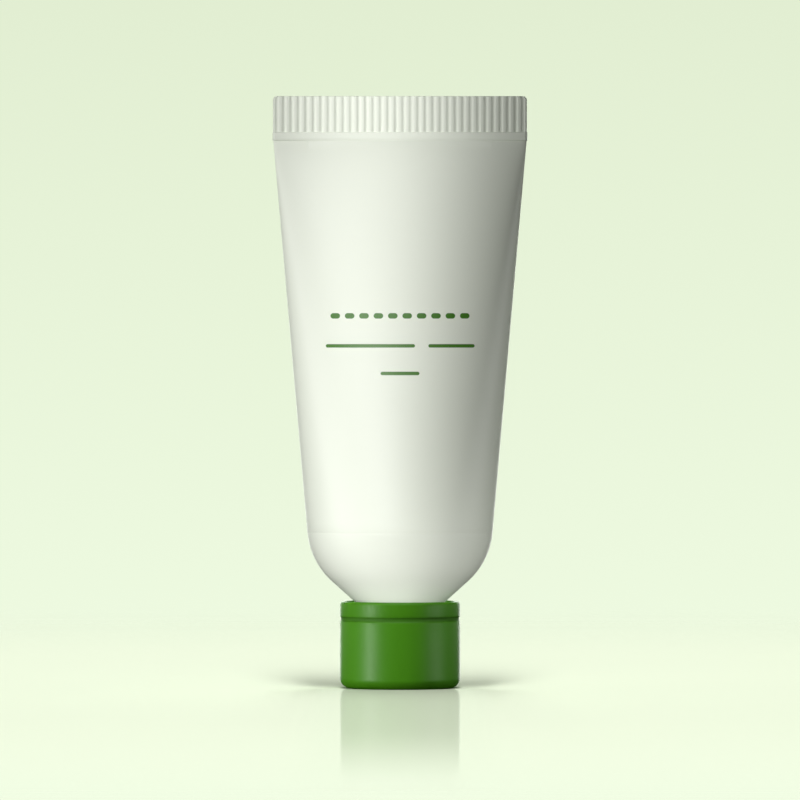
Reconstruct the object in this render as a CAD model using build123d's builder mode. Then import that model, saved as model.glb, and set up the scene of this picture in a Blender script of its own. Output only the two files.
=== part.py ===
from build123d import *
from math import asin, atan, cos, hypot, pi, radians, sin, sqrt, tan
import os

# A 75 ml cosmetic tube that stands on its screw cap.
# Millimetres, +Z up, origin at the centre of the cap's resting face.
# The flat seal runs along X, so the wide front faces -Y.

# Sleeve, an extruded round tube that is pressed flat at its top
tube_diameter = 40.0
sleeve_wall = 0.5
body_height = 96.9  # from the sleeve's lower edge up to the band
shoulder_width = 45.84  # across the front at the sleeve's lower edge
seal_gap = 0.3  # between the front and back walls where they meet the band
seal_fullness = 0.85  # how squarely the faces bulge there

# Smooth band and ribbed crimp above the body
band_height = 2.1
band_lip = 0.1  # how far the band stands out from the crimp all round
crimp_height = 8.9
crimp_depth = 1.2
crimp_corner = 1.0
rib_count = 34
rib_groove_width = 1.1
rib_groove_depth = 0.22

# Head with shoulder, collar and neck, moulded in one and welded into the sleeve
shoulder_height = 17.1  # from the cap's rim up to the sleeve's lower edge
shoulder_radius = 18.5
cone_angle = 48.0  # of the shoulder's straight part, from the upright axis
collar_diameter = 19.0
collar_height = 2.0
collar_step = 0.3  # ledge of the collar outside the shoulder's cone
neck_diameter = 16.0
neck_bore = 13.0
neck_chamfer = 0.5
orifice_diameter = 5.0
orifice_length = 1.5
lap_wall = 0.9
lap_height = 3.0

# Screw cap with an outer skirt and an inner skirt round the neck
cap_diameter = 29.7
cap_height = 21.5
cap_wall = 1.2
cap_end = 1.8
cap_bore = 18.5
cap_bore_wall = 1.3
cap_foot_radius = 2.5
cap_rim_radius = 0.7
cap_lip_radius = 0.3
cap_root_radius = 1.0
groove_drop = 3.7  # from the rim down to the groove's upper edge
groove_height = 1.3
groove_depth = 0.25
web_count = 6
web_thickness = 0.8
web_height = 11.0

# Foam disc that seals the orifice
liner_thickness = 1.0

# Filling
air_height = 33.3  # empty part of the body under the band, above 75 ml of cream

# Clearances
weld_clearance = 0.05
cream_clearance = 0.1
seat_clearance = 0.05
liner_clearance = 0.1
collar_clearance = 0.4
root_inset = 0.2

# Levels, from the floor up
liner_top = cap_end + liner_thickness
neck_tip = liner_top + seat_clearance
sleeve_base = cap_height + shoulder_height
lap_top = sleeve_base + lap_height
seal_level = sleeve_base + body_height
fill_level = seal_level - air_height
crimp_base = seal_level + band_height
tube_top = crimp_base + crimp_height

# Bezier handle, as a share of the radius, that makes a quarter circle
ROUND = 4 / 3 * (sqrt(2) - 1)

# Spans of each loft between evenly spaced sections
body_spans = 10
shoulder_spans = 6

girth = pi * tube_diameter
flat_width = girth / 2
shell = sleeve_wall + weld_clearance + lap_wall


def quarter(half_width, half_depth, fullness):
    """Bezier points of one quarter of a flattened tube's outline"""
    return [
        (half_width, 0),
        (half_width, ROUND * half_depth),
        (fullness * half_width, half_depth),
        (0, half_depth),
    ]


def quarter_length(half_width, half_depth, fullness, chords=60):
    """Length of that quarter, summed over short chords"""
    points = quarter(half_width, half_depth, fullness)
    length = 0
    last = points[0]
    for i in range(1, chords + 1):
        t = i / chords
        weights = ((1 - t) ** 3, 3 * (1 - t) ** 2 * t, 3 * (1 - t) * t**2, t**3)
        x = sum(weight * point[0] for weight, point in zip(weights, points))
        y = sum(weight * point[1] for weight, point in zip(weights, points))
        length += hypot(x - last[0], y - last[1])
        last = (x, y)
    return length


def solve(function, target, high, halvings=50):
    """Value from nought to high at which a rising function meets its target"""
    low = 0
    for _ in range(halvings):
        middle = (low + high) / 2
        if function(middle) < target:
            low = middle
        else:
            high = middle
    return low


# The sleeve can't stretch, so every section keeps the round tube's girth
seal_half_width = solve(
    lambda half_width: quarter_length(half_width, sleeve_wall + seal_gap / 2, seal_fullness),
    girth / 4,
    flat_width,
)


def sleeve_section(level):
    """Half width, half depth and fullness of the body at a level"""
    share = (level - sleeve_base) / body_height
    half_width = shoulder_width / 2 + share * (seal_half_width - shoulder_width / 2)
    fullness = ROUND + share * (seal_fullness - ROUND)
    half_depth = solve(
        lambda depth: quarter_length(half_width, depth, fullness), girth / 4, tube_diameter
    )
    return half_width, half_depth, fullness


# The shoulder's front outline is an arc that carries on the body's taper, then a
# cone down to the collar. Its depth goes from the body's to round at the collar.
taper = atan((seal_half_width - shoulder_width / 2) / body_height)
cone = radians(cone_angle)
cone_wall = shell / cos(cone)
cone_foot = collar_diameter / 2 - collar_step
arc_drop = shoulder_radius * (sin(cone) - sin(taper))
arc_fall = shoulder_radius * (cos(taper) - cos(cone))
cone_drop = (shoulder_width / 2 - arc_fall - cone_foot) / tan(cone)
shoulder_drop = arc_drop + cone_drop
collar_level = sleeve_base - shoulder_drop
base_half_depth = sleeve_section(sleeve_base)[1]

# Both faces of the shoulder run on past the collar's top, until the hollow is
# narrower than the neck's bore
bore_radius = neck_bore / 2
root_level = collar_level - (cone_foot - cone_wall - bore_radius + root_inset) / tan(cone)


def shoulder_section(level):
    """Half width and half depth of the shoulder, and its wall measured level"""
    drop = sleeve_base - level
    if drop < arc_drop:
        slope = asin(sin(taper) + drop / shoulder_radius)
        half_width = shoulder_width / 2 - shoulder_radius * (cos(taper) - cos(slope))
    else:
        slope = cone
        half_width = cone_foot + (level - collar_level) * tan(cone)
    share = max(half_width - cone_foot, 0) / (shoulder_width / 2 - cone_foot)
    half_depth = half_width + share * (base_half_depth - shoulder_width / 2)
    return half_width, half_depth, shell / cos(slope)


def levels(bottom, top, spans):
    """Evenly spaced levels from a lower height to an upper one"""
    return [bottom + (top - bottom) * i / spans for i in range(spans + 1)]


def oval(level, half_width, half_depth, fullness=ROUND):
    """Level face with a flattened tube's outline, as one section of a loft"""
    with BuildSketch(Plane.XY.offset(level)) as section:
        with BuildLine():
            Bezier(*quarter(half_width, half_depth, fullness))
            mirror(about=Plane.YZ)
            mirror(about=Plane.XZ)
        make_face()
    return section.sketch.face()


def body(bottom, top, spans, inset):
    """Sections of the body, each inside the sleeve's outer face by an inset"""
    sections = []
    for level in levels(bottom, top, spans):
        half_width, half_depth, fullness = sleeve_section(level)
        sections.append(oval(level, half_width - inset, half_depth - inset, fullness))
    return sections


def shoulder():
    """Sections of the shoulder's outer face"""
    sections = []
    for level in levels(root_level, sleeve_base, shoulder_spans):
        half_width, half_depth, wall = shoulder_section(level)
        sections.append(oval(level, half_width, half_depth))
    return sections


def head_cavity(top, clearance):
    """Sections of the space inside the shoulder and the lap, less a clearance"""
    sections = []
    for level in levels(root_level, sleeve_base, shoulder_spans):
        half_width, half_depth, wall = shoulder_section(level)
        inset = wall + clearance
        sections.append(oval(level, half_width - inset, half_depth - inset))
    return sections + body(sleeve_base, top, 1, shell + clearance)[1:]


def passage(clearance):
    """Half section of the orifice and the bore above it, less a clearance"""
    orifice_top = neck_tip + orifice_length + clearance
    with BuildSketch(Plane.XZ) as half_section:
        with BuildLine():
            Polyline(
                (0, neck_tip),
                (orifice_diameter / 2 - clearance, neck_tip),
                (orifice_diameter / 2 - clearance, orifice_top),
                (bore_radius - clearance, orifice_top),
                (bore_radius - clearance, collar_level),
                (0, collar_level),
                close=True,
            )
        make_face()
    return half_section.sketch.face()


# Sleeve: the ribbed crimp comes first, because its outline is cut by an
# intersection, and then the band and the hollow body join it from below
with BuildPart() as sleeve:
    with BuildSketch(Plane.XY.offset(crimp_base)):
        SlotOverall(flat_width, crimp_depth)
        rib_pitch = flat_width / rib_count
        groove_radius = (rib_groove_width**2 / 4 + rib_groove_depth**2) / (2 * rib_groove_depth)
        groove_spacing = crimp_depth + 2 * (groove_radius - rib_groove_depth)
        with GridLocations(rib_pitch, groove_spacing, rib_count, 2):
            Circle(groove_radius, mode=Mode.SUBTRACT)
    extrude(amount=crimp_height)
    with BuildSketch(Plane.XZ) as crimp_front:
        with Locations((0, (crimp_base + tube_top) / 2)):
            Rectangle(flat_width, crimp_height)
        fillet(crimp_front.vertices().group_by(Axis.Y)[-1], crimp_corner)
    extrude(amount=crimp_depth, both=True, mode=Mode.INTERSECT)
    with BuildSketch(Plane.XY.offset(seal_level)):
        SlotOverall(flat_width + 2 * band_lip, crimp_depth + 2 * band_lip)
    extrude(amount=band_height)
    loft(body(sleeve_base, seal_level, body_spans, 0))
    loft(body(sleeve_base, seal_level, body_spans, sleeve_wall), mode=Mode.SUBTRACT)

# Tube head: the shoulder, the lap inside the sleeve, the collar and the neck are
# built up solid, and then the hollow and the passage are cut through them
with BuildPart() as tube_head:
    loft(shoulder())
    loft(body(sleeve_base, lap_top, 1, sleeve_wall + weld_clearance))
    with BuildSketch(Plane.XY.offset(collar_level)):
        Circle(collar_diameter / 2)
    extrude(amount=-collar_height)
    with BuildSketch(Plane.XY.offset(neck_tip)):
        Circle(neck_diameter / 2)
    extrude(amount=collar_level - neck_tip)
    chamfer(tube_head.faces().sort_by(Axis.Z)[0].edges(), neck_chamfer)
    loft(head_cavity(lap_top, 0), mode=Mode.SUBTRACT)
    revolve(passage(0), axis=Axis.Z, mode=Mode.SUBTRACT)

# Cream: it fills the neck, the shoulder and the body up to its level
with BuildPart() as cream:
    lap_rim = lap_top + cream_clearance
    revolve(passage(cream_clearance), axis=Axis.Z)
    loft(head_cavity(lap_rim, cream_clearance))
    loft(body(lap_rim, fill_level, body_spans, sleeve_wall + cream_clearance))

# Screw cap: one turned outline with both skirts, and webs between the skirts
bore_skirt_top = collar_level - collar_height - collar_clearance
with BuildPart() as screw_cap:
    outer_radius = cap_diameter / 2
    skirt_radius = outer_radius - cap_wall
    skirt_middle = outer_radius - cap_wall / 2
    inner_radius = cap_bore / 2
    bore_skirt_radius = inner_radius + cap_bore_wall
    bore_skirt_middle = inner_radius + cap_bore_wall / 2
    groove_top = cap_height - groove_drop
    with BuildSketch(Plane.XZ) as cap_outline:
        with BuildLine():
            Polyline(
                (0, 0),
                (outer_radius, 0),
                (outer_radius, groove_top - groove_height),
                (outer_radius - groove_depth, groove_top - groove_height + groove_depth),
                (outer_radius - groove_depth, groove_top - groove_depth),
                (outer_radius, groove_top),
                (outer_radius, cap_height),
                (skirt_radius, cap_height),
                (skirt_radius, cap_end),
                (bore_skirt_radius, cap_end),
                (bore_skirt_radius, bore_skirt_top),
                (inner_radius, bore_skirt_top),
                (inner_radius, cap_end),
                (0, cap_end),
                close=True,
            )
        make_face()
        inner_corners = cap_outline.vertices().filter_by(
            lambda corner: bore_skirt_middle < corner.X < skirt_middle
        )
        fillet(inner_corners.sort_by(Axis.Y)[:2], cap_root_radius)
        outer_corners = cap_outline.vertices().group_by(Axis.X)[-1].sort_by(Axis.Y)
        fillet(outer_corners[0], cap_foot_radius)
        fillet(outer_corners[-1], cap_rim_radius)
        lip = cap_outline.vertices().group_by(Axis.Y)[-1].sort_by(Axis.X)[0]
        fillet(lip, cap_lip_radius)
    revolve(axis=Axis.Z)
    with BuildSketch(Plane.XY.offset(cap_end)):
        with PolarLocations((bore_skirt_middle + skirt_middle) / 2, web_count):
            Rectangle(skirt_middle - bore_skirt_middle, web_thickness)
    extrude(amount=web_height)

# Liner: a loose foam disc at the bottom of the cap's bore
with BuildPart() as cap_liner:
    with BuildSketch(Plane.XY.offset(cap_end)):
        Circle(cap_bore / 2 - liner_clearance)
    extrude(amount=liner_thickness)

sleeve.part.label = "sleeve"
tube_head.part.label = "tube_head"
cream.part.label = "cream"
screw_cap.part.label = "screw_cap"
cap_liner.part.label = "cap_liner"

os.makedirs("parts", exist_ok=True)
export_step(sleeve.part, "parts/sleeve.step")
export_step(tube_head.part, "parts/tube_head.step")
export_step(cream.part, "parts/cream.step")
export_step(screw_cap.part, "parts/screw_cap.step")
export_step(cap_liner.part, "parts/cap_liner.step")

print(f"tube top at {tube_top:.1f} mm, cream {cream.part.volume / 1000:.1f} ml")
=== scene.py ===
from math import asin, atan, cos, pi, radians, sin, sqrt, tan

import bpy
import numpy as np
from bpy.props import FloatProperty, FloatVectorProperty, IntProperty, PointerProperty
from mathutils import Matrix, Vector


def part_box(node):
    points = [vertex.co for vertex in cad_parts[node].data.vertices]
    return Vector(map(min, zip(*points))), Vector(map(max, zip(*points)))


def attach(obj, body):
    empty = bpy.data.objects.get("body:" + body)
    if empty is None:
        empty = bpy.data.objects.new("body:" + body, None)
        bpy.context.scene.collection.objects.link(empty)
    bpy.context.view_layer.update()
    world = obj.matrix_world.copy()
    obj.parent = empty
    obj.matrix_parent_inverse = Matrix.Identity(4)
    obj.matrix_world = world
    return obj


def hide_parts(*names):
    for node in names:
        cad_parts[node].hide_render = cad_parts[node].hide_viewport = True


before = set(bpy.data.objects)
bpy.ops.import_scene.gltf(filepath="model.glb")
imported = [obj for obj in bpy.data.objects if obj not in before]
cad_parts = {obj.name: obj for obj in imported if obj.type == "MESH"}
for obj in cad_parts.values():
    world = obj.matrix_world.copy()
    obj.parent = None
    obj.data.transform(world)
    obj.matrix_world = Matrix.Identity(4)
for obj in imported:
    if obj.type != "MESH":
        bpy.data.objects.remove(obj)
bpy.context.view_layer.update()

bl_info = {
    "name": "Skincare Tube",
    "version": (1, 0, 0),
    "blender": (4, 5, 0),
    "location": "View3D > Sidebar > Skincare Tube",
    "description": "Finished surfaces for a flattened cosmetic tube that stands on its screw cap",
    "category": "Add Mesh",
}

MM = 0.001

# Bezier handle, as a share of the radius, that makes a quarter circle
ROUND = 4 / 3 * (sqrt(2) - 1)

# Mesh columns over one rib, over a quarter of the head, and from one web to the next
RIB_COLUMNS = 12
HEAD_COLUMNS = 72
WEB_COLUMNS = 40

# How far a rounded edge's middle stays off the sharp corner, as a share of its rounding
KNEE = 0.3

# Width at the crimp's sides over which its corners draw the columns in
CORNER_SPAN = 3 * MM

# Screw threads: widths at crest and root, turn in which an end fades, mesh rows past the end
THREAD_CREST = 0.35 * MM
THREAD_ROOT = 1.35 * MM
THREAD_FADE = radians(50)
THREAD_MARGIN = 1.2 * MM

# Faces that meet at a larger angle keep a crisp edge
CRISP_ANGLE = radians(50)


def length(name, description, millimetres):
    """A length setting, given in millimetres and kept in metres"""
    return FloatProperty(
        name=name, description=description, default=millimetres * MM, unit="LENGTH", precision=5
    )


def paint(name, description, colour):
    """A colour setting"""
    return FloatVectorProperty(
        name=name, description=description, default=colour, subtype="COLOR", size=3, min=0, max=1
    )


def srgb(red, green, blue):
    """Linear colour of a screen colour with channels from 0 to 255"""
    channels = []
    for value in (red / 255, green / 255, blue / 255):
        channels.append(value / 12.92 if value <= 0.04045 else ((value + 0.055) / 1.055) ** 2.4)
    return tuple(channels)


# Settings

class SleeveSettings(bpy.types.PropertyGroup):
    """Sizes of the sleeve, with its body, band and crimp"""

    tube_diameter: length("Tube diameter", "Round tube that the sleeve is pressed from", 40)
    wall: length("Wall", "Thickness of the sleeve", 0.5)
    body_height: length("Body height", "From the lower edge up to the band", 96.9)
    shoulder_width: length("Shoulder width", "Across the front at the lower edge", 45.84)
    seal_gap: length("Seal gap", "Between front and back where they meet the band", 0.3)
    seal_fullness: FloatProperty(
        name="Seal fullness", description="How squarely the faces bulge at the band", default=0.85
    )
    band_height: length("Band height", "Smooth strip under the crimp", 2.1)
    band_lip: length("Band lip", "How far the band stands out from the crimp", 0.1)
    crimp_height: length("Crimp height", "Ribbed strip at the top", 8.9)
    crimp_depth: length("Crimp depth", "Thickness of the crimp", 1.2)
    crimp_corner: length("Crimp corner", "Radius of the crimp's upper corners", 1)
    rib_count: IntProperty(name="Ribs", description="Ribs across the crimp", default=34)
    groove_width: length("Groove width", "Of each groove between two ribs", 1.1)
    groove_depth: length("Groove depth", "Of each groove between two ribs", 0.22)
    edge: length("Edge rounding", "Softness of the sleeve's edges", 0.12)
    seam: length("Seam", "Softness of the sleeve's lower edge, at the shoulder", 0.025)
    colour: paint("Plastic", "White of the sleeve", srgb(240, 245, 231))


class PrintSettings(bpy.types.PropertyGroup):
    """Sizes of the plain printed marks on the front"""

    dash_count: IntProperty(name="Dashes", description="Short bars in the top row", default=10)
    dash_pitch: length("Dash pitch", "From one short bar to the next", 3.55)
    dash_width: length("Dash width", "Length of one short bar", 2.35)
    dash_height: length("Dash height", "Thickness of one short bar", 1.35)
    top_row: length("Top row", "Height above the floor", 92.1)
    middle_row: length("Middle row", "Height above the floor", 84.7)
    bottom_row: length("Bottom row", "Height above the floor", 77.9)
    bar_height: length("Bar height", "Thickness of the bars in the lower rows", 0.85)
    left_middle: length("Left bar middle", "To the right of the middle line", -7.3)
    left_width: length("Left bar width", "Of the middle row's left bar", 22)
    right_middle: length("Right bar middle", "To the right of the middle line", 12.7)
    right_width: length("Right bar width", "Of the middle row's right bar", 11.4)
    bottom_width: length("Bottom bar width", "Of the bottom row's bar", 9.6)
    colour: paint("Ink", "Green of the print", srgb(58, 115, 12))


class HeadSettings(bpy.types.PropertyGroup):
    """Sizes of the head, with its shoulder, collar and threaded neck"""

    shoulder_radius: length("Shoulder radius", "Of the shoulder's front outline", 18.5)
    cone_angle: FloatProperty(
        name="Cone angle", description="From upright", default=radians(48), subtype="ANGLE"
    )
    collar_diameter: length("Collar diameter", "Round collar above the neck", 19)
    collar_height: length("Collar height", "Round collar above the neck", 2)
    collar_step: length("Collar step", "Ledge outside the shoulder's cone", 0.3)
    neck_diameter: length("Neck diameter", "At the root of the thread", 16)
    neck_bore: length("Neck bore", "Inside the neck", 13)
    neck_chamfer: length("Neck chamfer", "Outer corner of the tip", 0.5)
    orifice_diameter: length("Orifice diameter", "Opening at the tip", 5)
    orifice_length: length("Orifice length", "Thickness of the tip", 1.5)
    lap_wall: length("Lap wall", "Rim that is welded inside the sleeve", 0.9)
    lap_height: length("Lap height", "Rim that is welded inside the sleeve", 3)
    lap_edge: length("Lap edge", "Bevel at the lap's top", 0.2)
    weld: length("Weld", "Between the lap and the sleeve", 0.05)
    edge: length("Edge rounding", "Softness of the head's edges", 0.15)
    thread_pitch: length("Thread pitch", "Rise of the thread in one turn", 3.175)
    thread_height: length("Thread height", "How far the neck's thread stands out", 0.95)
    thread_start: length("Thread start", "Height where the neck's thread begins", 5.6)
    thread_turns: FloatProperty(name="Thread turns", description="On the neck", default=2.25)


class CapSettings(bpy.types.PropertyGroup):
    """Sizes of the screw cap"""

    diameter: length("Diameter", "Outside of the cap", 29.7)
    height: length("Height", "From the floor to the rim", 21.5)
    wall: length("Wall", "Outer skirt", 1.2)
    end: length("End", "Thickness of the flat end", 1.8)
    bore: length("Bore", "Inside the inner skirt", 18.5)
    bore_wall: length("Bore wall", "Inner skirt", 1.3)
    collar_clearance: length("Collar clearance", "From the inner skirt up to the collar", 0.4)
    foot_radius: length("Foot radius", "Outer corner at the floor", 2.5)
    rim_radius: length("Rim radius", "Outer corner at the rim", 0.7)
    lip_radius: length("Lip radius", "Inner corner at the rim", 0.3)
    root_radius: length("Root radius", "Inner corners at the end", 1)
    groove_drop: length("Groove drop", "From the rim down to the ring groove", 3.7)
    groove_height: length("Groove height", "Ring groove round the cap", 1.3)
    groove_depth: length("Groove depth", "Ring groove round the cap", 0.25)
    web_count: IntProperty(name="Webs", description="Between the two skirts", default=6)
    web_thickness: length("Web thickness", "Between the two skirts", 0.8)
    web_height: length("Web height", "Between the two skirts", 11)
    web_root: length("Web root", "Inner corners at a web's top", 0.15)
    edge: length("Edge rounding", "Softness of the cap's edges", 0.1)
    thread_height: length("Thread height", "How far the thread stands into the bore", 0.95)
    thread_turns: FloatProperty(name="Thread turns", description="In the bore", default=2)
    colour: paint("Plastic", "Green of the cap", srgb(60, 118, 12))


class InsideSettings(bpy.types.PropertyGroup):
    """Colours of what is inside the tube and the cap"""

    cream: paint("Cream", "Colour of the cream", srgb(247, 244, 234))
    foam: paint("Foam", "Colour of the cap's liner", srgb(238, 239, 234))


class StageSettings(bpy.types.PropertyGroup):
    """Camera, floor and background"""

    camera_distance: length("Camera distance", "From the tube", 2400)
    camera_lift: FloatProperty(
        name="Camera lift", description="Angle above level", default=radians(0.3), subtype="ANGLE"
    )
    frame_width: length("Frame width", "Width seen at the tube", 198.05)
    aim_height: length("Aim height", "Height above the floor that the camera aims at", 71.3)
    floor_radius: length("Floor radius", "Of the floor's sheet", 1400)
    floor: paint("Floor", "Colour of the floor", srgb(240, 250, 224))
    sky_top: paint("Upper background", "Behind the crimp", srgb(226, 238, 210))
    sky_foot: paint("Lower background", "Behind the cap", srgb(241, 253, 228))


# Shader sums

class Wire:
    """A value in a material; a sum with it adds the Math node it needs"""

    def __init__(self, bench, socket):
        self.bench = bench
        self.socket = socket

    def sum(self, operation, *terms):
        """One Math node"""
        return self.bench.node("ShaderNodeMath", {"operation": operation}, *terms)

    def __add__(self, other):
        return self.sum("ADD", self, other)

    def __radd__(self, other):
        return self.sum("ADD", other, self)

    def __sub__(self, other):
        return self.sum("SUBTRACT", self, other)

    def __rsub__(self, other):
        return self.sum("SUBTRACT", other, self)

    def __mul__(self, other):
        return self.sum("MULTIPLY", self, other)

    def __truediv__(self, other):
        return self.sum("DIVIDE", self, other)

    def __pow__(self, other):
        return self.sum("POWER", self, other)

    def __lt__(self, other):
        return self.sum("LESS_THAN", self, other)

    def __abs__(self):
        return self.sum("ABSOLUTE", self)

    def floor(self):
        return self.sum("FLOOR", self)

    def above(self, other):
        return self.sum("MAXIMUM", self, other)

    def below(self, other):
        return self.sum("MINIMUM", self, other)

    def ramp(self, low, high):
        """Rises smoothly from nought at low to one at high"""
        return self.bench.node(
            "ShaderNodeMapRange", {"interpolation_type": "SMOOTHSTEP"}, self, low, high, 0.0, 1.0
        )


class Bench:
    """The node tree of one material or world, filled through one method"""

    def __init__(self, tree):
        self.tree = tree
        tree.nodes.clear()

    def feed(self, socket, value):
        """Leads a wire into a socket, or sets the socket to a constant"""
        if isinstance(value, Wire):
            self.tree.links.new(value.socket, socket)
        elif hasattr(socket.default_value, "__len__") and len(socket.default_value) == 4:
            socket.default_value = (*value, 1.0)
        else:
            socket.default_value = value

    def node(self, kind, settings, *values, **named):
        """Adds a node, sets it, feeds its sockets, and gives the output that the settings name"""
        made = self.tree.nodes.new(kind)
        output = 0
        for key, value in settings.items():
            if key == "output":
                output = value
            else:
                setattr(made, key, value)
        for slot, value in enumerate(values):
            self.feed(made.inputs[slot], value)
        for name, value in named.items():
            self.feed(made.inputs[name.replace("_", " ")], value)
        return Wire(self, made.outputs[output]) if made.outputs else None

    def split(self, vector):
        """The three parts of a vector"""
        first = self.node("ShaderNodeSeparateXYZ", {}, vector)
        return [Wire(self, output) for output in first.socket.node.outputs]

    def place(self):
        """Where a point lies on the piece, in metres"""
        return self.node("ShaderNodeTexCoord", {"output": "Object"})

    def noise(self, place, scale, detail=2.0, roughness=0.5):
        """Soft noise from nought to one, with scale cells to a metre"""
        return self.node(
            "ShaderNodeTexNoise", {}, Vector=place, Scale=scale, Detail=detail, Roughness=roughness
        )

    def stretch(self, place, share):
        """A place with its height scaled, so that noise is drawn out upright"""
        return self.node("ShaderNodeVectorMath", {"operation": "MULTIPLY"}, place, (1, 1, share))

    def blend(self, factor, first, second):
        """One colour going over into another"""
        made = self.tree.nodes.new("ShaderNodeMix")
        made.data_type = "RGBA"
        # The colours of a Mix node are its inputs 6 and 7 and its output 2
        for slot, value in ((0, factor), (6, first), (7, second)):
            self.feed(made.inputs[slot], value)
        return Wire(self, made.outputs[2])

    def bump(self, height, distance, strength):
        """A surface normal from a height between nought and one"""
        return self.node("ShaderNodeBump", {}, Strength=strength, Distance=distance, Height=height)

    def plastic(self, **sockets):
        """The surface shader, straight to the material's output"""
        surface = self.node("ShaderNodeBsdfPrincipled", {}, **sockets)
        self.node("ShaderNodeOutputMaterial", {}, surface)


def material(name):
    """A new material and the bench for its nodes"""
    made = bpy.data.materials.new(name)
    made.use_nodes = True
    return made, Bench(made.node_tree)


def shade(colour, factor):
    """A colour made lighter or darker"""
    return tuple(min(channel * factor, 1.0) for channel in colour)


# Materials

def rounded_bar(across, up, width, height):
    """Distance in metres to the edge of a bar with round ends, negative inside"""
    reach = max(width - height, 0.0) / 2
    past = (abs(across) - reach).above(0.0)
    return (past * past + up * up) ** 0.5 - height / 2


def print_mask(bench, place):
    """One on the printed marks of the front, nought elsewhere"""
    ink = bpy.context.scene.tube_print
    x, y, z = bench.split(place)
    row_reach = ink.dash_count * ink.dash_pitch / 2
    pitches = (x + row_reach) / ink.dash_pitch
    cell = (pitches - pitches.floor() - 0.5) * ink.dash_pitch
    dashes = rounded_bar(cell, z - ink.top_row, ink.dash_width, ink.dash_height)
    edge = dashes.above(abs(x) - row_reach)
    for middle, row, width in (
        (ink.left_middle, ink.middle_row, ink.left_width),
        (ink.right_middle, ink.middle_row, ink.right_width),
        (0.0, ink.bottom_row, ink.bottom_width),
    ):
        edge = edge.below(rounded_bar(x - middle, z - row, width, ink.bar_height))
    soft = 0.04 * MM
    return (1 - edge.ramp(-soft, soft)) * (y < 0.0)


def white_tone(bench, colour, cloud, speck):
    """Base colour of both white plastics, with faint clouds and darker specks"""
    tone = bench.blend(cloud, shade(colour, 0.985), shade(colour, 1.012))
    return bench.blend((speck - 0.5).above(0.0) * 0.16, tone, shade(colour, 0.9))


def sleeve_plastic():
    """White extruded plastic, satin, with plain green print on the front"""
    white = bpy.context.scene.tube_sleeve.colour
    green = bpy.context.scene.tube_print.colour
    made, bench = material("white_sleeve_plastic")
    place = bench.place()
    mask = print_mask(bench, place)
    cloud = bench.noise(bench.stretch(place, 0.35), scale=55.0, detail=3.0)
    speck = bench.noise(place, scale=2600.0)
    ink_cloud = bench.noise(place, scale=1400.0, detail=3.0)
    ink = bench.blend(ink_cloud, shade(green, 0.9), shade(green, 1.1))
    drawn = bench.noise(bench.stretch(place, 0.06), scale=420.0)
    grain = drawn * 0.5 + bench.noise(place, scale=1500.0) * 0.5
    bench.plastic(
        Base_Color=bench.blend(mask, white_tone(bench, white, cloud, speck), ink),
        Roughness=0.42 + cloud * 0.08 + speck * 0.05 - mask * 0.06,
        IOR=1.5,
        Specular_IOR_Level=0.4,
        Normal=bench.bump(grain * 0.75 + mask * 0.25, distance=0.012 * MM, strength=0.7),
    )
    return made


def head_plastic():
    """The same white plastic, injection moulded, a little smoother"""
    white = bpy.context.scene.tube_sleeve.colour
    made, bench = material("white_moulded_plastic")
    place = bench.place()
    cloud = bench.noise(place, scale=70.0, detail=3.0)
    speck = bench.noise(place, scale=2600.0)
    grain = bench.noise(place, scale=1300.0, detail=3.0)
    bench.plastic(
        Base_Color=white_tone(bench, white, cloud, speck),
        Roughness=0.41 + cloud * 0.08 + speck * 0.05,
        IOR=1.5,
        Specular_IOR_Level=0.4,
        Normal=bench.bump(grain, distance=0.01 * MM, strength=0.7),
    )
    return made


def cap_plastic():
    """Green moulded plastic, satin, with faint flow marks and a duller ring groove whose colour is
    darkened as painted shade
    """
    cap = bpy.context.scene.tube_cap
    made, bench = material("green_cap_plastic")
    place = bench.place()
    flow = bench.noise(bench.stretch(place, 0.25), scale=260.0, detail=4.0, roughness=0.6)
    speck = bench.noise(place, scale=3000.0)
    tone = bench.blend(flow, shade(cap.colour, 0.93), shade(cap.colour, 1.07))
    tone = bench.blend((speck - 0.52).above(0.0) * 0.5, tone, shade(cap.colour, 0.72))
    x, y, z = bench.split(place)
    # Painted shade in the ring groove: its colour goes down to 0.68 of the cap's green, and its
    # roughness also rises
    half_groove = cap.groove_height / 2
    off_middle = abs(z - (cap.height - cap.groove_drop - half_groove)) / half_groove
    skirt = cap.diameter / 2
    outside = ((x * x + y * y) ** 0.5).ramp(skirt - 0.6 * MM, skirt - 0.5 * MM)
    groove = (1 - off_middle.ramp(0.8, 1.0)) * outside
    grain = bench.noise(place, scale=1700.0, detail=3.0)
    bench.plastic(
        Base_Color=bench.blend(groove, tone, shade(cap.colour, 0.68)),
        Roughness=0.36 + flow * 0.08 + speck * 0.06 + groove * 0.2,
        IOR=1.5,
        Specular_IOR_Level=0.18,
        Normal=bench.bump(grain * 0.7 + flow * 0.3, distance=0.014 * MM, strength=0.8),
    )
    return made


def liner_foam():
    """Closed-cell foam of the liner"""
    foam = bpy.context.scene.tube_inside.foam
    made, bench = material("white_liner_foam")
    place = bench.place()
    cells = bench.node("ShaderNodeTexVoronoi", {"output": "Distance"}, Vector=place, Scale=2600.0)
    bench.plastic(
        Base_Color=bench.blend(cells, shade(foam, 0.93), shade(foam, 1.02)),
        Roughness=0.72 + cells * 0.1,
        IOR=1.45,
        Normal=bench.bump(cells, distance=0.05 * MM, strength=0.8),
    )
    return made


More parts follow.
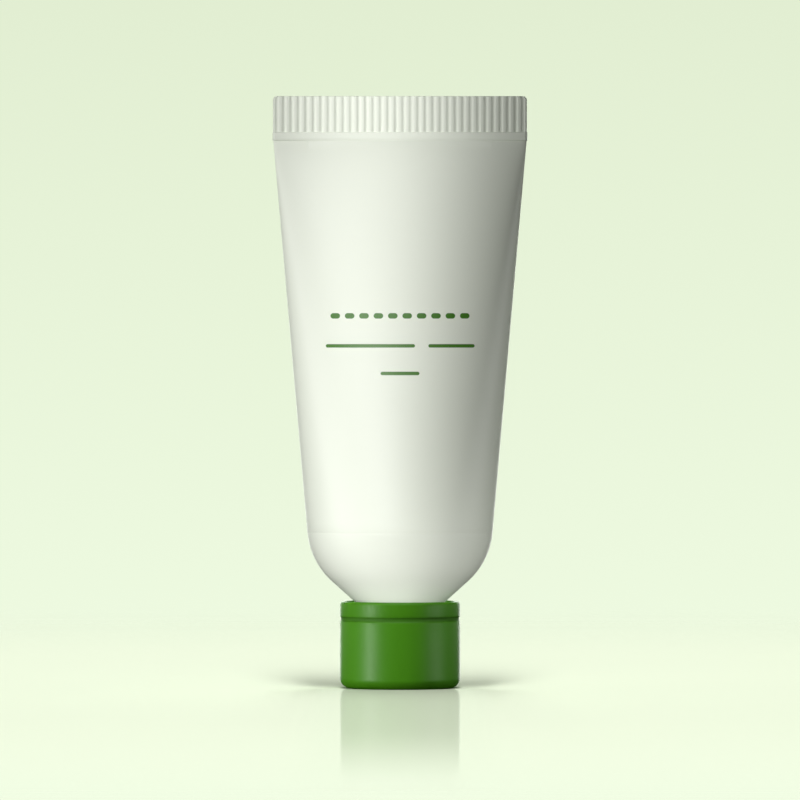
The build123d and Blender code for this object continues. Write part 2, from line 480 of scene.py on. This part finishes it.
def cream_finish():
    """Soft cream with slow swirls"""
    cream = bpy.context.scene.tube_inside.cream
    made, bench = material("white_cream")
    place = bench.stretch(bench.place(), 0.5)
    swirl = bench.noise(place, scale=120.0, detail=4.0, roughness=0.55)
    bench.plastic(
        Base_Color=bench.blend(swirl, shade(cream, 0.97), shade(cream, 1.01)),
        Roughness=0.22 + swirl * 0.12,
        IOR=1.42,
        Normal=bench.bump(swirl, distance=0.3 * MM, strength=0.6),
    )
    return made


# Outlines of the flattened tube

def quarter_curve(half_width, half_depth, fullness, fine=241):
    """Fine points of one quarter outline, from the side to the middle, and the way to each"""
    t = np.linspace(0, 1, fine)[:, None]
    handles = [
        (half_width, 0),
        (half_width, ROUND * half_depth),
        (fullness * half_width, half_depth),
        (0, half_depth),
    ]
    weights = np.hstack([(1 - t) ** 3, 3 * (1 - t) ** 2 * t, 3 * (1 - t) * t**2, t**3])
    points = weights @ np.array(handles)
    way = np.concatenate([[0], np.cumsum(np.hypot(*np.diff(points, axis=0).T))])
    return points, way


def quarter_length(half_width, half_depth, fullness):
    """Length of one quarter outline"""
    return quarter_curve(half_width, half_depth, fullness)[1][-1]


def quarter(half_width, half_depth, fullness, count):
    """Points of one quarter outline, evenly spaced along it"""
    points, way = quarter_curve(half_width, half_depth, fullness)
    steps = np.linspace(0, way[-1], count + 1)
    return np.column_stack([np.interp(steps, way, points[:, axis]) for axis in (0, 1)])


def whole(points):
    """The full outline from its quarter, counter-clockwise from +X"""
    first = points[:-1]
    second = points[:0:-1] * (-1, 1)
    return np.vstack([first, second, -first, -second])


def solve(function, target, high, halvings=40):
    """Value from nought to high at which a rising function meets its target"""
    low = 0.0
    for _ in range(halvings):
        middle = (low + high) / 2
        if function(middle) < target:
            low = middle
        else:
            high = middle
    return low


def ring(outline, level):
    """An outline placed at a height"""
    return np.column_stack([outline, np.full(len(outline), level)])


class Form:
    """Levels and sections that the sleeve, the head and the cap share"""

    def __init__(self):
        sleeve = bpy.context.scene.tube_sleeve
        head = bpy.context.scene.tube_head
        self.sleeve = sleeve
        self.head = head
        # Half the width of the tube pressed flat, and the length of each quarter outline
        self.half_flat = pi * sleeve.tube_diameter / 4
        self.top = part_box("sleeve")[1].z
        self.crimp_base = self.top - sleeve.crimp_height
        self.seal = self.crimp_base - sleeve.band_height
        self.base = self.seal - sleeve.body_height
        seal_half_depth = sleeve.wall + sleeve.seal_gap / 2
        self.seal_half_width = solve(
            lambda half_width: quarter_length(half_width, seal_half_depth, sleeve.seal_fullness),
            self.half_flat,
            2 * self.half_flat,
        )
        self.side = sleeve.shoulder_width / 2
        self.shell = sleeve.wall + head.weld + head.lap_wall
        self.taper = atan((self.seal_half_width - self.side) / sleeve.body_height)
        self.cone_foot = head.collar_diameter / 2 - head.collar_step
        radius = head.shoulder_radius
        self.arc_drop = radius * (sin(head.cone_angle) - sin(self.taper))
        arc_fall = radius * (cos(self.taper) - cos(head.cone_angle))
        cone_drop = (self.side - arc_fall - self.cone_foot) / tan(head.cone_angle)
        self.collar_level = self.base - self.arc_drop - cone_drop
        self.base_depth = self.body_size(self.base)[1]

    def body_size(self, level):
        """Half width, half depth and fullness of the body at a level"""
        share = (level - self.base) / self.sleeve.body_height
        half_width = self.side + share * (self.seal_half_width - self.side)
        fullness = ROUND + share * (self.sleeve.seal_fullness - ROUND)
        half_depth = solve(
            lambda depth: quarter_length(half_width, depth, fullness),
            self.half_flat,
            self.sleeve.tube_diameter,
        )
        return half_width, half_depth, fullness

    def body_ring(self, level, inset, count):
        """The body's outline at a level, set in from the sleeve's face"""
        half_width, half_depth, fullness = self.body_size(level)
        return ring(whole(quarter(half_width - inset, half_depth - inset, fullness, count)), level)

    def shoulder_ring(self, level, inset, count, inside=False):
        """The shoulder's outline at a level, set in from its outer or its inner face"""
        drop = self.base - level
        radius = self.head.shoulder_radius
        if drop < self.arc_drop:
            slope = asin(sin(self.taper) + drop / radius)
            half_width = self.side - radius * (cos(self.taper) - cos(slope))
        else:
            slope = self.head.cone_angle
            half_width = self.cone_foot + (level - self.collar_level) * tan(slope)
        share = max(half_width - self.cone_foot, 0) / (self.side - self.cone_foot)
        half_depth = half_width + share * (self.base_depth - self.side)
        if inside:
            inset += self.shell / cos(slope)
        return ring(whole(quarter(half_width - inset, half_depth - inset, ROUND, count)), level)


# Meshes

def skin(rings, looped=False):
    """Points and faces of a skin from ring to ring. A ring of one point closes an end, and a
    looped skin joins the last ring to the first"""
    verts = []
    faces = []
    starts = []
    for points in rings:
        starts.append(len(verts))
        verts.extend(map(tuple, points))
    pairs = list(zip(range(len(rings) - 1), range(1, len(rings))))
    if looped:
        pairs.append((len(rings) - 1, 0))
    for a, b in pairs:
        size_a, size_b = len(rings[a]), len(rings[b])
        size = max(size_a, size_b)
        for i in range(size):
            j = (i + 1) % size
            if size_a == 1:
                faces.append((starts[a], starts[b] + j, starts[b] + i))
            elif size_b == 1:
                faces.append((starts[a] + i, starts[a] + j, starts[b]))
            else:
                faces.append((starts[a] + i, starts[a] + j, starts[b] + j, starts[b] + i))
    return verts, faces


def pair_up(start, size, middle_row=None):
    """Faces that join the front half of a ring to its back half, over a middle row if given"""
    half = size // 2
    faces = []
    for i in range(half):
        front, front_next = start + i, start + i + 1
        back, back_next = start + (size - i) % size, start + (size - i - 1) % size
        if middle_row is None:
            # The first and the last face become triangles
            faces.append(tuple(dict.fromkeys([front, front_next, back_next, back])))
            continue
        middle = [middle_row + i] if i < half - 1 else []
        middle += [middle_row + i - 1] if i > 0 else []
        for near, near_next in ((front, front_next), (back, back_next)):
            corners = [near, near_next, *middle]
            faces.append(tuple(corners if near == front else reversed(corners)))
    return faces


def put(name, data):
    """A new object in the scene"""
    made = bpy.data.objects.new(name, data)
    bpy.context.scene.collection.objects.link(made)
    return made


def build(name, verts, faces, finish, body, node):
    """Puts a mesh in the scene with its finish, on its body and in place of its CAD node"""
    mesh = bpy.data.meshes.new(name)
    mesh.from_pydata(verts, [], faces)
    mesh.validate()
    mesh.update()
    piece = put(name, mesh)
    mesh.materials.append(finish)
    bpy.context.view_layer.objects.active = piece
    piece.select_set(True)
    bpy.ops.object.mode_set(mode="EDIT")
    bpy.ops.mesh.select_all(action="SELECT")
    bpy.ops.mesh.normals_make_consistent(inside=False)
    bpy.ops.object.mode_set(mode="OBJECT")
    piece.select_set(False)
    mesh.shade_smooth()
    mesh.set_sharp_from_angle(angle=CRISP_ANGLE)
    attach(piece, body)
    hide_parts(node)


def slot_ring(half_width, half_depth, level, count, grooves=None, corner=0.0):
    """A flat outline with round ends and even columns along X. Grooves cut into its faces, and
    a corner draws its ends in"""
    x = half_width * (1 - np.linspace(0, 1, count + 1))
    into_end = np.clip((x - (half_width - half_depth)) / half_depth, 0, 1)
    y = half_depth * np.sqrt(1 - into_end**2)
    if grooves is not None:
        y = y - grooves(x) * np.sqrt(1 - into_end**2)
    if corner:
        bend = half_width - CORNER_SPAN
        drawn_in = bend + (x - bend) * (half_width - corner - bend) / CORNER_SPAN
        x = np.where(x > bend, drawn_in, x)
    return ring(whole(np.column_stack([x, y])), level)


def circle_ring(radius, level, angles):
    """A turned ring, with one radius and level or one for each angle"""
    radius = np.broadcast_to(radius, angles.shape)
    level = np.broadcast_to(level, angles.shape)
    return np.column_stack([radius * np.cos(angles), radius * np.sin(angles), level])


def arc(centre_r, centre_z, radius, start, end, steps):
    """Points of an arc in the turned profile, angles in degrees from outward to up"""
    return [
        (centre_r + radius * cos(a), centre_z + radius * sin(a))
        for a in np.radians(np.linspace(start, end, steps + 1))
    ]


def smooth(share):
    """An even rise from nought to one made soft at both ends"""
    return share * share * (3 - 2 * share)


def thread_rings(radius, height, start, turns, angles, rows):
    """Rings down a round wall with a screw thread that stands out from it by its height"""
    pitch = bpy.context.scene.tube_head.thread_pitch
    total = 2 * pi * turns
    top = start + pitch * turns + THREAD_MARGIN
    rings = []
    for level in np.linspace(top, start - THREAD_MARGIN, rows):
        swell = np.zeros_like(angles)
        for turn in range(int(turns) + 2):
            along = angles + 2 * pi * turn
            off = np.abs(level - start - pitch * along / (2 * pi))
            flank = np.clip((THREAD_ROOT / 2 - off) / ((THREAD_ROOT - THREAD_CREST) / 2), 0, 1)
            fade = np.clip(np.minimum(along, total - along) / THREAD_FADE, 0, 1)
            swell = np.maximum(swell, smooth(flank) * smooth(fade))
        rings.append(circle_ring(radius + height * swell, level, angles))
    return rings


# Operators

class TUBE_OT_sleeve(bpy.types.Operator):
    """Build the sleeve: body, smooth band and ribbed crimp"""

    bl_idname = "tube.sleeve"
    bl_label = "Sleeve"

    def execute(self, context):
        form = Form()
        sleeve = form.sleeve
        count = sleeve.rib_count // 2 * RIB_COLUMNS
        outer = self.body_rings(form, count) + self.crimp_rings(form, count)
        inner = [form.body_ring(form.base, sleeve.wall - sleeve.edge, count)]
        for level in np.linspace(form.base + sleeve.edge, form.seal - 0.2 * MM, 16):
            inner.append(form.body_ring(level, sleeve.wall, count))
        verts, faces = skin(inner[::-1] + outer)
        # The first ring closes the hollow, the last one the crimp's top over a sunk seam
        size = len(outer[0])
        last = len(verts) - size
        middle = len(verts)
        for i in range(1, size // 2):
            x = (verts[last + i][0] + verts[last + size - i][0]) / 2
            verts.append((x, 0.0, form.top - 0.06 * MM))
        faces += pair_up(0, size) + pair_up(last, size, middle)
        build("tube_sleeve", verts, faces, sleeve_plastic(), "tube", "sleeve")
        return {"FINISHED"}

    def body_rings(self, form, count):
        """Outside of the body and of the smooth band, upwards"""
        sleeve = form.sleeve
        seam = sleeve.seam
        rings = [
            form.body_ring(form.base, seam, count),
            form.body_ring(form.base + seam * KNEE, seam * KNEE, count),
        ]
        for level in np.linspace(form.base + seam, form.seal - sleeve.edge, 44):
            rings.append(form.body_ring(level, 0, count))
        half_width = form.half_flat + sleeve.band_lip
        half_depth = sleeve.crimp_depth / 2 + sleeve.band_lip
        soft = 0.05 * MM
        for level, inset in (
            (form.seal, soft),
            (form.seal + soft, 0),
            (form.seal + 0.7 * MM, 0),
            (form.crimp_base - 0.4 * MM, 0),
            (form.crimp_base - soft, 0),
            (form.crimp_base, soft),
        ):
            rings.append(slot_ring(half_width - inset, half_depth - inset, level, count))
        return rings

    def crimp_rings(self, form, count):
        """Outside of the crimp with its grooves, upwards to its rounded corners"""
        sleeve = form.sleeve
        pitch = 2 * form.half_flat / sleeve.rib_count
        depth = sleeve.groove_depth
        radius = (sleeve.groove_width**2 / 4 + depth**2) / (2 * depth)

        def grooves(x):
            """How deep the round grooves are at places along X"""
            offset = (x / pitch) % 1 * pitch - pitch / 2
            bulge = np.sqrt(np.clip(radius**2 - offset**2, 0, None))
            return np.clip(bulge - (radius - depth), 0, None)

        rings = []
        half_depth = sleeve.crimp_depth / 2
        for up in (0.01, 0.26, 1.01, 3.01, 5.01, 7.01):
            level = form.crimp_base + up * MM
            rings.append(slot_ring(form.half_flat, half_depth, level, count, grooves))
        corner = sleeve.crimp_corner
        for step in np.linspace(0, 88, 9):
            level = form.top - corner + corner * sin(radians(step))
            shrink = corner * (1 - cos(radians(step)))
            inset = max(level - (form.top - sleeve.edge), 0) * 0.8
            rings.append(
                slot_ring(form.half_flat, half_depth - inset, level, count, grooves, shrink)
            )
        return rings


class TUBE_OT_head(bpy.types.Operator):
    """Build the head: lap, shoulder, collar and threaded neck"""

    bl_idname = "tube.head"
    bl_label = "Head"

    def execute(self, context):
        form = Form()
        head = form.head
        count = HEAD_COLUMNS
        angles = np.arange(count * 4) * pi / (2 * count)
        seam = form.sleeve.seam
        lap = form.sleeve.wall + head.weld
        lap_top = form.base + head.lap_height
        rings = [
            form.body_ring(lap_top, lap + head.lap_edge, count),
            form.body_ring(lap_top - head.lap_edge, lap, count),
        ]
        for level in np.linspace(lap_top - 1 * MM, form.base, 4):
            rings.append(form.body_ring(level, lap, count))
        rings.append(form.shoulder_ring(form.base, seam, count))
        rings.append(form.shoulder_ring(form.base - seam * KNEE, seam * KNEE, count))
        for level in np.linspace(form.base - seam, form.collar_level, 30):
            rings.append(form.shoulder_ring(level, 0, count))

        collar = head.collar_diameter / 2
        neck = head.neck_diameter / 2
        bore = head.neck_bore / 2
        orifice = head.orifice_diameter / 2
        collar_foot = form.collar_level - head.collar_height
        root = 0.3 * MM
        soft = head.edge
        knee = soft * KNEE
        profile = [
            (collar - soft, form.collar_level),
            (collar - knee, form.collar_level - knee),
            (collar, form.collar_level - soft),
            (collar, collar_foot + soft),
            (collar - knee, collar_foot + knee),
            (collar - soft, collar_foot),
            (neck + root, collar_foot),
            (neck + root / 3, collar_foot - root / 3),
            (neck, collar_foot - root),
        ]
        rings += [circle_ring(radius, level, angles) for radius, level in profile]
        rings += thread_rings(
            neck, head.thread_height, head.thread_start, head.thread_turns, angles, rows=90
        )

        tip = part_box("tube_head")[0].z
        chamfer = head.neck_chamfer
        orifice_top = tip + head.orifice_length
        hollow = form.cone_foot - form.shell / cos(head.cone_angle)
        hollow_foot = form.collar_level - (hollow - bore) / tan(head.cone_angle)
        profile = [
            (neck, tip + chamfer + soft),
            (neck - knee, tip + chamfer),
            (neck - chamfer, tip + knee),
            (neck - chamfer - soft, tip),
            (orifice + soft, tip),
            (orifice + knee, tip + knee),
            (orifice, tip + soft),
            (orifice, orifice_top - soft),
            (orifice + soft, orifice_top),
            (bore - soft, orifice_top),
            (bore, orifice_top + soft),
            (bore, (orifice_top + hollow_foot) / 2),
        ]
        rings += [circle_ring(radius, level, angles) for radius, level in profile]
        for level in np.linspace(hollow_foot, form.base, 16):
            rings.append(form.shoulder_ring(level, 0, count, inside=True))
        for level in np.linspace(form.base, lap_top - head.lap_edge, 4)[1:]:
            rings.append(form.body_ring(level, form.shell, count))
        rings.append(form.body_ring(lap_top, form.shell - head.lap_edge, count))
        verts, faces = skin(rings, looped=True)
        build("tube_shoulder", verts, faces, head_plastic(), "tube", "tube_head")
        return {"FINISHED"}


class TUBE_OT_cap(bpy.types.Operator):
    """Build the screw cap: skirts, webs, ring groove and thread"""

    bl_idname = "tube.cap"
    bl_label = "Screw cap"

    def execute(self, context):
        form = Form()
        head = form.head
        cap = context.scene.tube_cap
        outer = cap.diameter / 2
        skirt = outer - cap.wall
        inner = cap.bore / 2
        bore_skirt = inner + cap.bore_wall
        soft = cap.edge

        def angles(radius):
            """Column angles, with a pair of columns at each side of each web"""
            radius = min(max(radius, bore_skirt), skirt)
            half = asin(cap.web_thickness / 2 / radius)
            side = 0.04 * MM / radius
            sector = 2 * pi / cap.web_count
            between = np.linspace(half + side, sector - half - side, WEB_COLUMNS - 3)[1:-1]
            steps = np.array([-half - side, -half, 0.0, half, half + side, *between])
            return np.concatenate([steps + sector * k for k in range(cap.web_count)])

        def turned(profile):
            """Rings through the points of a profile"""
            return [circle_ring(radius, level, angles(radius)) for radius, level in profile]

        # Outside, from the middle of the flat end up to the rim
        profile = [(r * MM, 0.0) for r in (3.0, 7.0, 10.5)]
        profile += arc(outer - cap.foot_radius, cap.foot_radius, cap.foot_radius, -90, 0, 14)
        groove_top = cap.height - cap.groove_drop
        groove_foot = groove_top - cap.groove_height
        slope_end = cap.groove_depth - soft * 0.6
        flank = [
            (0.0, -soft),
            (soft * 0.25, soft * 0.25),
            (slope_end, slope_end),
            (cap.groove_depth, cap.groove_depth + soft),
        ]
        profile += [(outer - inward, groove_foot + up) for inward, up in flank]
        profile += [(outer - inward, groove_top - up) for inward, up in flank[::-1]]
        rim = cap.rim_radius
        profile += arc(outer - rim, cap.height - rim, rim, 0, 90, 8)
        lip = cap.lip_radius
        profile += arc(skirt + lip, cap.height - lip, lip, 90, 180, 5)
        rings = [np.array([(0.0, 0.0, 0.0)])] + turned(profile)

        # Between the skirts, where the ground rises to each web's top
        on_web = np.tile([0, 1, 1, 1] + [0] * (WEB_COLUMNS - 4), cap.web_count)
        ground = np.where(on_web, cap.end + cap.web_height, cap.end)
        root = np.where(on_web, cap.web_root, cap.root_radius)
        high = cap.height - lip
        shares = (0.25, 0.5, 0.75, 1.0)
        rings += turned([(skirt, high + share * (ground + root - high)) for share in shares])
        for wall, side, steps in ((skirt, -1, (30, 60, 90)), (bore_skirt, 1, (90, 60, 30, 0))):
            for a in steps:
                away = root * (1 - cos(radians(a)))
                level = ground + root * (1 - sin(radians(a)))
                columns = angles(wall + side * away.max())
                rings.append(circle_ring(wall + side * away, level, columns))
        bore_top = form.collar_level - head.collar_height - cap.collar_clearance
        rise = bore_top - soft * 2 - ground - root
        rings += turned([(bore_skirt, ground + root + share * rise) for share in (0.35, 0.7, 1.0)])

        # Over the inner skirt's edge, down the threaded bore and in to the middle
        profile = [
            (bore_skirt - soft, bore_top - soft / 2),
            (bore_skirt - soft * 2, bore_top),
            (inner + soft * 2, bore_top),
            (inner + soft / 2, bore_top - soft),
        ]
        rings += turned(profile)
        start = head.thread_start + head.thread_pitch / 2
        rings += thread_rings(
            inner, -cap.thread_height, start, cap.thread_turns, angles(inner), rows=84
        )
        rings += turned([(inner, cap.end + soft), (inner - soft, cap.end), (4 * MM, cap.end)])
        rings.append(np.array([(0.0, 0.0, cap.end)]))
        verts, faces = skin(rings)
        build("tube_cap", verts, faces, cap_plastic(), "cap", "screw_cap")
        return {"FINISHED"}


class TUBE_OT_inside(bpy.types.Operator):
    """Finish the cream and the liner, which keep their CAD shapes"""

    bl_idname = "tube.inside"
    bl_label = "Cream and liner"

    def execute(self, context):
        for node, finish in (("cream", cream_finish()), ("cap_liner", liner_foam())):
            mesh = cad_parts[node].data
            if not mesh.materials:
                mesh.materials.append(finish)
            for i in range(len(mesh.materials)):
                mesh.materials[i] = finish
        return {"FINISHED"}


def lamp(name, place, aim, size, power, spread, lit, blockers=None):
    """A soft box that lights some objects alone. If blockers are given, only they block it"""
    data = bpy.data.lights.new(name, "AREA")
    data.shape = "RECTANGLE"
    data.size, data.size_y = size
    data.energy = power
    data.spread = radians(spread)
    made = put(name, data)
    made.location = place
    made.rotation_euler = (Vector(aim) - Vector(place)).to_track_quat("-Z", "Y").to_euler()
    made.light_linking.receiver_collection = lit
    made.light_linking.blocker_collection = blockers


def collect(name, objects):
    """A collection of objects that a lamp can be kept to"""
    made = bpy.data.collections.new(name)
    for item in objects:
        made.objects.link(item)
    return made


def around(azimuth, distance, height):
    """A place round the tube: azimuth in degrees from the front, positive to the right"""
    a = radians(azimuth)
    return (distance * sin(a), -distance * cos(a), height)


class TUBE_OT_stage(bpy.types.Operator):
    """Set up the floor, the background, the lamps and the camera"""

    bl_idname = "tube.stage"
    bl_label = "Stage"

    def execute(self, context):
        stage = context.scene.tube_stage
        pieces = [piece for piece in context.scene.objects if piece.type == "MESH"]
        self.lamps(pieces)
        self.floor_lamps(self.floor(stage))
        self.background(context.scene, stage)
        self.camera(context.scene, stage)
        return {"FINISHED"}

    def floor(self, stage):
        """A round sheet"""
        columns = 96
        angles = np.arange(columns) * 2 * pi / columns
        rings = [np.array([(0.0, 0.0, 0.0)])]
        for radius in (0.1, 0.3, 0.6, 1.0, stage.floor_radius):
            rings.append(circle_ring(radius, 0.0, angles))
        verts, faces = skin(rings)
        mesh = bpy.data.meshes.new("studio_floor")
        mesh.from_pydata(verts, [], [face[::-1] for face in faces])
        mesh.update()
        mesh.materials.append(self.floor_finish(stage))
        floor = put("studio_floor", mesh)
        return floor

    def floor_finish(self, stage):
        """Pale for the camera, with painted shade that darkens it towards the front, and dim for
        all else, with a mirror before the cap that shows in a nearly level view"""
        made, bench = material("studio_floor")
        x, y, z = bench.split(bench.place())
        eye = bench.node("ShaderNodeLightPath", {"output": "Is Camera Ray"})
        # Painted shade: for the camera the floor's colour falls to 0.873 towards the front,
        # against the arch lamps that light the front floor more
        seen = bench.blend(y.ramp(-0.3, 0.5), shade(stage.floor, 0.873), stage.floor)
        tone = bench.blend(eye, shade(stage.floor, 0.055), seen)
        matt = bench.node("ShaderNodeBsdfDiffuse", {}, Color=tone)
        gloss = bench.node("ShaderNodeBsdfGlossy", {}, Color=(0.97, 0.98, 0.95), Roughness=0.05)
        ahead = 0 - y
        reach = (1 - ahead.ramp(0.25, 0.66)) * ahead.ramp(0, 0.012)
        strip = 1 - abs(x).ramp(0.0155, 0.024)
        slant = bench.node("ShaderNodeFresnel", {}, IOR=1.05)
        mirror = reach * strip * slant * 0.58
        sheet = bench.node("ShaderNodeMixShader", {}, mirror, matt, gloss)
        clear = bench.node("ShaderNodeBsdfTransparent", {})
        far = ((x * x + y * y) ** 0.5).ramp(0.25, 0.75)
        faded = bench.node("ShaderNodeMixShader", {}, far, sheet, clear)
        bench.node("ShaderNodeOutputMaterial", {}, faded)
        return made

    def background(self, scene, stage):
        """Pale green for the camera and, low down, for mirrored rays; dim light for the rest"""
        world = bpy.data.worlds.new("studio_world")
        scene.world = world
        world.use_nodes = True
        bench = Bench(world.node_tree)
        way = bench.node("ShaderNodeTexCoord", {"output": "Generated"})
        x, y, z = bench.split(way)
        eye = bench.node("ShaderNodeLightPath", {"output": "Is Camera Ray"})
        mirrored = bench.node("ShaderNodeLightPath", {"output": "Is Glossy Ray"})
        foot, top = -0.0465, 0.036
        rise = (z - foot) / (top - foot) * (1 - mirrored)
        colour = bench.blend(rise, stage.sky_foot, stage.sky_top)
        seen = bench.node("ShaderNodeBackground", {}, Color=colour, Strength=1.0)
        dim = bench.node("ShaderNodeBackground", {}, Color=(0.97, 1.0, 0.95), Strength=0.03)
        low = z.ramp(-0.06, -0.02) * (1 - z.ramp(0.1, 0.16))
        mixed = bench.node("ShaderNodeMixShader", {}, eye.above(mirrored * low), dim, seen)
        bench.node("ShaderNodeOutputWorld", {}, mixed)

    def lamps(self, pieces):
        """Narrow strips for the tube, small lamps for its foot, three for the cap, one behind"""
        every = collect("every_piece", pieces)
        caps = [piece for piece in pieces if "cap" in piece.name]
        green = collect("green_pieces", caps)
        white = collect("white_pieces", [piece for piece in pieces if piece not in caps])
        mid = 0.09
        shift = Vector((-0.011, -0.012, 0.0))
        place = Vector(around(-10, 0.6, 0.2)) + shift
        aim = Vector((0, 0, mid)) + shift
        tall, short, small = (0.04, 0.4), (0.03, 0.2), (0.04, 0.04)
        # Name, place and aim; size in metres, watts, spread in degrees, pieces it lights
        strips = (
            ("front_strip", place, aim, (0.04, 0.44), 0.041, 6, white),
            ("left_strip", around(-60, 0.4, mid), (-0.008, -0.008, mid), tall, 0.065, 30, every),
            ("right_strip", around(78, 0.4, mid), (0.016, -0.01, mid), tall, 0.0105, 12, every),
            ("foot_light", around(32, 0.4, 0), (0.006, -0.006, 0.008), small, 0.0029, 14, white),
            ("foot_edge", around(56, 0.4, 0.03), (0.006, -0.006, 0.038), small, 0.0018, 24, white),
            ("cap_softbox", around(0, 0.35, 0.6), (0, 0, 0), (0.5, 0.3), 3.6, 180, green),
            ("cap_left_strip", around(-58, 0.4, 0.02), (0, 0, 0.02), short, 0.105, 60, green),
            ("cap_right_strip", around(62, 0.4, 0.02), (0, 0, 0.02), short, 0.028, 60, green),
            ("back_softbox", (0, 0.6, 0.15), (0, 0, mid), (0.5, 0.4), 3, 180, every),
        )
        for *settings, lit in strips:
            lamp(*settings, lit, blockers=lit)

    def floor_lamps(self, floor):
        """An arch of lamps from front to back that lights the floor and draws its soft shadow"""
        sheet = collect("floor_sheet", [floor])
        radius = 2
        # Angle up from the floor in front, and watts
        arch = (
            (35, 1.55), (45, 5.6), (55, 8.15), (65, 8.8), (75, 6.15), (82, 2.4),
            (98, 3.1), (105, 5.05), (115, 4.05), (125, 1.3), (135, 1.85), (150, 2.85),
        )
        for rise, power in arch:
            up = radians(rise)
            place = (0, -radius * cos(up), radius * sin(up))
            lamp("floor_softbox", place, (0, 0, 0), (0.2, 0.53), power, 180, sheet)

    def camera(self, scene, stage):
        """A long lens nearly level with the tube"""
        data = bpy.data.cameras.new("studio_camera")
        made = put("studio_camera", data)
        lift = stage.camera_lift
        distance = stage.camera_distance
        made.location = (0, -distance * cos(lift), stage.aim_height + distance * sin(lift))
        made.rotation_euler = (pi / 2 - lift, 0, 0)
        data.sensor_fit = "HORIZONTAL"
        data.lens = data.sensor_width * distance / stage.frame_width
        data.clip_start = 0.05
        data.clip_end = 20
        scene.camera = made


class TUBE_PT_panel(bpy.types.Panel):
    """Lists the pieces of the tube and their settings"""

    bl_idname = "TUBE_PT_panel"
    bl_label = "Skincare Tube"
    bl_space_type = "VIEW_3D"
    bl_region_type = "UI"
    bl_category = "Skincare Tube"

    def draw(self, context):
        for operator in OPERATORS:
            self.layout.operator(operator.bl_idname)
        for name in SETTINGS:
            box = self.layout.box()
            settings = getattr(context.scene, name)
            for key in settings.bl_rna.properties.keys():
                if key not in ("rna_type", "name"):
                    box.prop(settings, key)


OPERATORS = (TUBE_OT_sleeve, TUBE_OT_head, TUBE_OT_cap, TUBE_OT_inside, TUBE_OT_stage)
SETTINGS = {
    "tube_sleeve": SleeveSettings,
    "tube_print": PrintSettings,
    "tube_head": HeadSettings,
    "tube_cap": CapSettings,
    "tube_inside": InsideSettings,
    "tube_stage": StageSettings,
}
CLASSES = (*SETTINGS.values(), *OPERATORS, TUBE_PT_panel)


def register():
    for kind in CLASSES:
        bpy.utils.register_class(kind)
    for name, settings in SETTINGS.items():
        setattr(bpy.types.Scene, name, PointerProperty(type=settings))


def unregister():
    for name in SETTINGS:
        delattr(bpy.types.Scene, name)
    for kind in reversed(CLASSES):
        bpy.utils.unregister_class(kind)


def main():
    """Registers the add-on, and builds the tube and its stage"""
    register()
    bpy.context.scene.view_settings.view_transform = "Standard"
    bpy.ops.tube.sleeve()
    bpy.ops.tube.head()
    bpy.ops.tube.cap()
    bpy.ops.tube.inside()
    bpy.ops.tube.stage()


if __name__ == "__main__":
    main()
